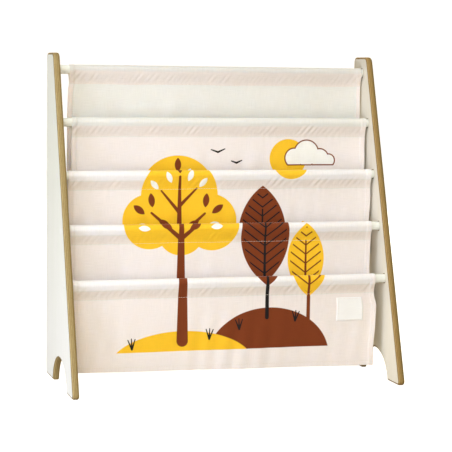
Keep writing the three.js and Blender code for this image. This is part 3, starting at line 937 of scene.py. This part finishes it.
class ClothPanel:
    """One sheet of the sling. A place on it is a distance along its path and a share of its width."""

    def __init__(self, index):
        self.index = index
        self.last = index == len(RODS) - 1
        self.left, self.right = CASINGS[index]
        self.width = self.right - self.left
        path = panel_path(index)
        points = np.array(path.points)
        steps = np.linalg.norm(np.diff(points, axis=0), axis=1)
        self.along = np.concatenate([[0], np.cumsum(steps)])
        self.length = self.along[-1]
        self.seam_along = self.along[path.seam]
        self.y, self.z = points.T
        tangent = np.gradient(points, axis=0)
        tangent /= np.linalg.norm(tangent, axis=1)[:, None]
        self.out_y, self.out_z = tangent[:, 1], -tangent[:, 0]

    def at(self, along, values):
        """What the path has there of its y, z or way out"""
        return np.interp(along, self.along, values)

    def aside(self, share):
        """The distance from the nearer side edge"""
        return np.minimum(share, 1 - share) * self.width

    def share_at(self, x):
        """The share of the width at a place across, on the panel's own casing"""
        return (x - self.left) / self.width

    def along_at(self, z):
        """The distance along the path to a height on the wall below the seam"""
        return self.seam_along + (RODS[self.index][1] - CASING_DROP) - z

    def shares(self):
        hem, step = HEM_WIDTH / self.width, HEM_STEP / self.width
        inner = np.linspace(hem + step, 1 - hem - step, round((self.width - 2 * HEM_WIDTH) / COLUMN_PITCH))
        edge = HEM_COLUMNS * hem
        return np.concatenate([edge, inner, 1 - edge[::-1]])

    def surface(self, along, share, lift):
        """Points of the cloth, lifted off its middle towards the printed side"""
        along, share, lift = np.broadcast_arrays(along, share, lift)
        y, z = self.at(along, self.y), self.at(along, self.z)
        out_y, out_z = self.at(along, self.out_y), self.at(along, self.out_z)
        size = np.hypot(out_y, out_z)
        out_y, out_z = out_y / size, out_z / size
        rod_y, rod_z = RODS[self.index]
        below = rod_z - CASING_DROP - z
        walls = along > self.seam_along
        left, right = self.left, self.right
        if not self.last:
            next_y, next_z = RODS[self.index + 1]
            next_left, next_right = CASINGS[self.index + 1]
            rear_y, front_y = rod_y - PLY_PITCH, next_y + PLY_PITCH
            forward = np.where(walls, np.clip((rear_y - y) / (rear_y - front_y), 0, 1), 0)
            left, right = left + (next_left - left) * forward, right + (next_right - right) * forward
        across = left + (right - left) * share
        stand = hanging(self.index, share, across, below)
        swing = side_edge(self.index, share, below)
        sag = 0
        if self.last:
            sag = FLAP_SAG * share * np.clip(below / (rod_z - CASING_DROP - LOWEST_FOLD), 0, 1)
        else:
            next_below = next_z - CASING_DROP - z
            stand += (hanging(self.index + 1, share, across, next_below) - stand) * forward
            swing += (side_edge(self.index + 1, share, next_below) - swing) * forward
        stand = stand * np.where(walls, 1, np.exp(-np.abs(below) / SEAM_REACH))
        sway = SEAM_SWAY[0] * ripple(across, SEAM_SWAY[1], SWAY_SEED + self.index)
        sway = sway * np.exp(-(below / SEAM_REACH) ** 2)
        lift = lift + self.drag(along, share, across, z)
        return np.stack([across + swing, y + stand + lift * out_y, z + sway - sag + lift * out_z], axis=-1)

    def drag(self, along, share, across, z):
        """Wrinkles on the casing's flat sides below the rod, strongest towards the ends"""
        rod_z = RODS[self.index][1]
        below = rod_z - CASING_DROP - z
        flat_side = np.sin(np.pi * np.clip(-below / (CASING_DROP - FLAT_FROM), 0, 1)) ** DRAG_SHARPNESS
        flat_side = np.where((along > self.seam_along) | (z > rod_z), 0, flat_side)
        more_right, more_left = 0.3 * smooth(0.62, 0.96, share), 0.4 * (1 - smooth(0.0, 0.16, share))
        ends = 0.9 + more_right + more_left
        slanted = across + np.where(along < self.seam_along / 2, *DRAG_LEANS) * below
        wrinkle = DRAG_WRINKLE[0] * ends * ripple(slanted, DRAG_WRINKLE[1], DRAG_SEED + self.index)
        return np.minimum(flat_side * wrinkle, DRAG_LIMIT)

    def hem_lift(self, along, share):
        """The folded side hems are raised on the printed side"""
        raised = HEM_RAISE * (1 - smooth(HEM_WIDTH, HEM_WIDTH + HEM_STEP, self.aside(share)))
        return raised * smooth(0, HEM_FADE, along - HEM_START)

    def tone(self, along, share):
        """The place of the cloth's colour in TONES. Over a rod and on the casing below it, it is painted
        shade or highlight, and on the top panel's wall a greyer tone, painted light for its single sheet
        seen against the light.
        """
        z = self.at(along, self.z)
        begins, full, rod_tone = ROD_BANDS[self.index]
        on_rod = smooth(begins, full, (z - RODS[self.index][1]) / ROD_RADIUS)
        casing_tone = TONES.index(SHADED_CASING_CANVAS) * (1 - on_rod) + TONES.index(rod_tone) * on_rod
        wall = (along > self.seam_along + GREYED_FROM) & (z > RODS[1][1] - 2 * CASING_DROP)
        greyed = wall & (self.aside(share) > HEM_WIDTH) & (self.index == 0)
        return np.where(along <= self.seam_along, casing_tone, TONES.index(CANVAS) - greyed)


GROUND, PRINTED, REVERSE = range(3)


def double_sided(front, back):
    """Vertices and faces of a sheet from the grids of its front and back: front faces, back ones, rim"""
    names = np.arange(front[..., 0].size).reshape(front.shape[:2])
    a, b, c, d = names[:-1, :-1], names[:-1, 1:], names[1:, 1:], names[1:, :-1]
    front_faces = np.stack([a, d, c, b], axis=-1).reshape(-1, 4)
    rim = np.concatenate([names[0, :], names[1:, -1], names[-1, -2::-1], names[-2:0:-1, 0]])
    ahead = np.roll(rim, -1)
    rim_faces = np.stack([rim, ahead, ahead + names.size, rim + names.size], axis=-1)
    faces = np.concatenate([front_faces, front_faces[:, ::-1] + names.size, rim_faces])
    return np.concatenate([front.reshape(-1, 3), back.reshape(-1, 3)]), faces


def build_cloth(panel, materials):
    along, share = np.meshgrid(panel.along, panel.shares(), indexing="ij")
    front = panel.surface(along, share, PLY / 2 + panel.hem_lift(along, share))
    vertices, faces = double_sided(front, panel.surface(along, share, -PLY / 2))

    # The print lies on the part of the cloth that faces the front, and ends behind the next rod
    middle = (panel.along[1:] + panel.along[:-1]) / 2
    y, z = panel.at(middle, panel.y), panel.at(middle, panel.z)
    shown = (middle > panel.seam_along - PRINT_LEAD) & (y < RODS[panel.index][0])
    if panel.last:
        shown &= middle < panel.length - BOTTOM_HEM
    else:
        next_y, next_z = RODS[panel.index + 1]
        shown &= (z > next_z - CASING_DROP) & (y > next_y + 2 * PLY_PITCH)
    columns = share.shape[1] - 1
    surfaces = np.full(len(faces), REVERSE)
    surfaces[:len(shown) * columns] = np.repeat(np.where(shown, PRINTED, GROUND), columns)

    number = panel.index + 1
    flat = np.stack([share * panel.width, along, panel.tone(along, share)], axis=-1)
    piece = add_piece(f"sling_panel_{number}", vertices, faces, materials, surfaces,
                      cloth=[flat, flat])
    replaced = [f"rod_casing_{number}"]
    if not panel.last:
        replaced.append(f"pocket_sling_{number}")
    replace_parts(piece, *replaced)


# Stitches: short bits of thread that come out of the cloth and go back into it

# The rings of a stitch are at these shares of its length, and this many thread radii over the cloth
STITCH_PLACES = np.array([0, 0.2, 0.8, 1.0])
STITCH_RISE = np.array([-1.0, 0.45, 0.45, -1.0])
OUTWARD_STEP = 0.5 * MM
SEAM_END_SHARE = 0.004
HEM_STITCH_INSET = 1.4 * MM
LOWER_STITCH_INSET = 1 * MM
FOLD_MARGIN = 3 * MM


def stitch_row(panel, along_ends, share_ends, lift, pitch=STITCH_PITCH):
    """Rings of points for a straight row of stitches between two places on a panel"""
    (along_start, along_end), (share_start, share_end) = along_ends, share_ends
    if share_start == share_end:
        length = abs(along_end - along_start)
    else:
        start, end = panel.surface(np.array(along_ends), np.array(share_ends), 0.0)
        length = np.linalg.norm(end - start)
    count = max(1, int(length / pitch))
    first = (np.arange(count) + 0.5 - 0.5 * STITCH_LENGTH / pitch) / count
    places = first[:, None] + STITCH_PLACES * STITCH_LENGTH / pitch / count
    along = along_start + (along_end - along_start) * places
    share = share_start + (share_end - share_start) * places
    sign = 1 if lift > 0 else -1
    rise = lift + sign * THREAD_RADIUS * STITCH_RISE
    centre = panel.surface(along, share, rise)
    outward = panel.surface(along, share, rise + sign * OUTWARD_STEP) - centre
    return centre, outward


def thread_mesh(rows):
    """Joins rows of stitches into vertices and faces"""
    vertices, faces = [], []
    total = 0
    for centre, outward in rows:
        tangent = np.gradient(centre, axis=1)
        tangent /= np.linalg.norm(tangent, axis=2)[..., None]
        outward = outward / np.linalg.norm(outward, axis=2)[..., None]
        aside = np.cross(tangent, outward)
        aside /= np.linalg.norm(aside, axis=2)[..., None]
        angles = 2 * np.pi * np.arange(THREAD_SIDES) / THREAD_SIDES
        ring = np.cos(angles)[:, None] * outward[:, :, None, :]
        ring = ring + np.sin(angles)[:, None] * aside[:, :, None, :]
        points = centre[:, :, None, :] + THREAD_RADIUS * ring
        names = total + np.arange(points[..., 0].size).reshape(points.shape[:3])
        total += names.size
        vertices.append(points.reshape(-1, 3))
        ahead = np.roll(names, -1, axis=2)
        quads = np.stack([names[:, :-1], ahead[:, :-1], ahead[:, 1:], names[:, 1:]], axis=-1)
        faces += quads.reshape(-1, 4).tolist()
        faces += names[:, 0, ::-1].tolist()
        faces += names[:, -1, :].tolist()
    return np.concatenate(vertices), faces


def build_stitches(panel, thread):
    seam, tail = panel.seam_along, CASING_TAIL
    whole = (SEAM_END_SHARE, 1 - SEAM_END_SHARE)
    face = PLY / 2
    behind = face if panel.index == 0 else face + PLY_PITCH
    rows = [stitch_row(panel, (seam, seam), whole, face), stitch_row(panel, (tail, tail), whole, behind)]
    hem = (HEM_WIDTH - HEM_STITCH_INSET) / panel.width
    for share in (hem, 1 - hem):
        for lift in (face + HEM_RAISE, -face):
            rows.append(stitch_row(panel, (HEM_START + HEM_FADE, panel.length), (share, share), lift))
    if panel.last:
        before_fold = panel.along < panel.length - BOTTOM_HEM - FOLD_MARGIN
        stitch_z = LOWEST_FOLD + BOTTOM_HEM - LOWER_STITCH_INSET
        line = np.interp(-stitch_z, -panel.z[before_fold], panel.along[before_fold])
        rows.append(stitch_row(panel, (line, line), whole, face))
    vertices, faces = thread_mesh(rows)
    add_piece(f"sling_stitches_{panel.index + 1}", vertices, faces, [thread])


# Label

LABEL_THICKNESS = 0.5 * MM
LABEL_LIFT = 0.2 * MM
LABEL_PITCH = 1.5 * MM
LABEL_TURN_IN = (3.2 * MM, 3.6 * MM)
LABEL_TURN_IN_HEIGHT = 0.22 * MM
LABEL_EDGE = 0.8 * MM
LABEL_EDGE_DROP = 0.1 * MM
LABEL_PUFF = (2 * MM, 14 * MM)
LABEL_PUFF_HEIGHT = 0.25 * MM
LABEL_STITCH_INSET = 1.8 * MM
LABEL_STITCH_RISE = 0.2 * MM
LABEL_STITCH_PITCH = STITCH_PITCH * 0.9


def build_label(panel, satin, thread):
    low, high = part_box("label_patch")
    columns = round((high.x - low.x) / LABEL_PITCH)
    rows = round((high.z - low.z) / LABEL_PITCH)
    z, x = np.meshgrid(np.linspace(high.z, low.z, rows + 1), np.linspace(low.x, high.x, columns + 1),
                       indexing="ij")
    edge = np.minimum(np.minimum(x - low.x, high.x - x), np.minimum(high.z - z, z - low.z))
    folded = LABEL_TURN_IN_HEIGHT * (1 - smooth(*LABEL_TURN_IN, edge))
    folded -= LABEL_EDGE_DROP * (1 - smooth(0, LABEL_EDGE, edge))
    under = PLY / 2 + LABEL_LIFT
    puffed = under + LABEL_PUFF_HEIGHT * smooth(*LABEL_PUFF, edge)
    along, share = panel.along_at(z), panel.share_at(x)
    front = panel.surface(along, share, puffed + LABEL_THICKNESS + folded)
    vertices, faces = double_sided(front, panel.surface(along, share, puffed))
    flat = np.stack([x, z, np.ones_like(x)], axis=-1)
    piece = add_piece("bare_label", vertices, faces, [satin], cloth=[flat, flat])
    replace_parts(piece, "label_patch")

    top, bottom = panel.along_at(high.z - LABEL_STITCH_INSET), panel.along_at(low.z + LABEL_STITCH_INSET)
    left, right = panel.share_at(low.x + LABEL_STITCH_INSET), panel.share_at(high.x - LABEL_STITCH_INSET)
    lift = under + LABEL_THICKNESS + LABEL_STITCH_RISE
    sides = [((top, top), (left, right)), ((bottom, bottom), (left, right)),
             ((top, bottom), (left, left)), ((top, bottom), (right, right))]
    stitches = [stitch_row(panel, *ends, lift, LABEL_STITCH_PITCH) for ends in sides]
    vertices, faces = thread_mesh(stitches)
    add_piece("label_stitches", vertices, faces, [thread])


# Studio

PAPER = (0.50, 0.44, 0.34, 1)
PAPER_GLOW = 0.94
FLOOR_RADIUS = 9.0
FLOOR_MIDDLE = 1.5
WALL_BEND = 2.5
WALL_RISE = 3.0
BEND_STEPS = 12
FLOOR_SIDES = 96

# The room's tint and strength of light on each side
ROOM_LEFT = ((1.0, 0.935, 0.76, 1), 0.64)
ROOM_RIGHT = ((1.0, 0.81, 0.52, 1), 0.34)

# Each soft light's place, the point that it faces, its width and height, its power and its tint
SOFT_LIGHTS = {
    "key": ((-1.4, -2.4, 1.2), (0, 0, 0.2), (2.0, 1.5), 43, (0.82, 0.92, 1.0)),
    "top": ((0.2, -1.1, 3.1), (0, 0, 0.3), (2.6, 2.0), 34, (1.0, 0.99, 0.90)),
    "side": ((-1.5, -0.6, 0.12), (0, 0, 0.05), (0.8, 0.6), 18.5, (0.73, 0.81, 1.0)),
    "back": ((0.9, 3.4, 1.3), (0, 0, 0.3), (2.0, 2.2), 46, (0.96, 0.98, 1.0)),
    "right": ((2.4, 2.4, 0.9), (0.3, 0, 0.3), (1.6, 1.6), 55, (1.0, 0.99, 0.97)),
    "fill": ((-0.75, -2.9, 0.5), (0, 0, 0.28), (1.2, 1.0), 12, (1.0, 0.72, 0.32)),
}


def stage_paper():
    """Pale paper that shows near white and throws back less light than it shows"""
    g = Graph("studio_paper")
    paper = g.node("BsdfDiffuse", {"Color": PAPER}).outputs[0]
    glow = g.node("Emission", {"Color": (1, 1, 1, 1), "Strength": PAPER_GLOW}).outputs[0]
    glowing = g.node("AddShader", {0: paper, 1: glow}).outputs[0]
    seen = g.node("LightPath").outputs["Is Camera Ray"]
    g.node("OutputMaterial", {"Surface": g.node("MixShader", {0: seen, 1: paper, 2: glowing}).outputs[0]})
    return g.made


def build_stage():
    """A round floor that curves up into a low wall, far behind the shelf in every view"""
    wall = FLOOR_RADIUS + WALL_BEND
    bend = [(wall - inwards, rise) for inwards, rise in round_over(WALL_BEND, BEND_STEPS)]
    profile = [(0, 0), (FLOOR_MIDDLE, 0), *bend, (wall, WALL_BEND + WALL_RISE)]
    vertices, faces = lathe(profile, FLOOR_SIDES)
    upright = [(y, z, x) for x, y, z in vertices]
    floor = add_mesh("studio_floor", upright, [face[::-1] for face in faces], [stage_paper()])
    floor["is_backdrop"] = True


def light_room():
    """Light from all round, pale from the left, warmer and fainter from the right"""
    g = Graph("studio", "worlds")
    across = g.split(g.node("TexCoord").outputs["Generated"])["X"]
    (left_tint, left), (right_tint, right) = ROOM_LEFT, ROOM_RIGHT
    tint = g.mix(g.between(across, -1, 1), left_tint, right_tint)
    light = g.node("Background", {"Color": tint, "Strength": g.between(across, -1, 1, left, right)})
    g.node("OutputWorld", {"Surface": light.outputs[0]})
    bpy.context.scene.world = g.made


def add_soft_light(name, place, target, size, power, tint):
    light = bpy.data.lights.new(name, "AREA")
    light.shape = "RECTANGLE"
    light.size, light.size_y = size
    light.energy = power
    light.color = tint
    holder = bpy.data.objects.new(name, light)
    holder.location = place
    aim = Vector(target) - Vector(place)
    holder.rotation_euler = aim.to_track_quat("-Z", "Y").to_euler()
    bpy.context.scene.collection.objects.link(holder)


def add_studio():
    build_stage()
    light_room()
    for name, settings in SOFT_LIGHTS.items():
        add_soft_light(name, *settings)
    view = bpy.context.scene.view_settings
    view.view_transform = "Standard"
    view.look = "None"
    view.exposure = 0
    view.gamma = 1


def dress_fixings():
    steel = turned_metal("zinc_steel", colour(196, 200, 204), colour(160, 164, 168), 0.28)
    brass = turned_metal("insert_brass", colour(214, 184, 118), colour(176, 146, 86), 0.26)
    for name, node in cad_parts.items():
        for start, material in (("rod_screw", steel), ("rod_insert", brass)):
            if name.startswith(start):
                for place in node.material_slots:
                    place.material = material


add_camera()
# The last colour of each board paint is the painted shade on its upper part. The inside's paint is creamier
# and darker than the outside's.
outside = painted_board("board_outside", colour(246, 246, 243), colour(241, 242, 236), (0.96, 0.965, 0.90))
inside = painted_board("board_inside", colour(239, 234, 221), colour(234, 227, 208), (0.86, 0.85, 0.85))
edge = bare_edge()
for name, side in (("left", -1), ("right", 1)):
    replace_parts(build_board(f"painted_panel_{name}", side, (outside, edge, inside)), f"side_panel_{name}")
glossy, plastic = rod_paint(), cap_plastic()
for number in range(1, ROD_COUNT + 1):
    build_rod(number, glossy)
    for name, side in (("left", -1), ("right", 1)):
        build_cap(f"screw_cap_{name}_{number}", side, plastic)
dress_fixings()

canvases = [canvas("ground_canvas"), canvas("printed_canvas", printed=True), canvas("raw_canvas", raw=True)]
thread = sewing_thread()
panels = [ClothPanel(index) for index in range(len(RODS))]
for panel in panels:
    build_cloth(panel, canvases)
    build_stitches(panel, thread)
build_label(panels[-1], label_satin(), thread)
add_studio()

boxes = {"cad": cad_box, "visual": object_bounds()}
{name: [[float(value) for value in corner] for corner in box] for name, box in boxes.items()}
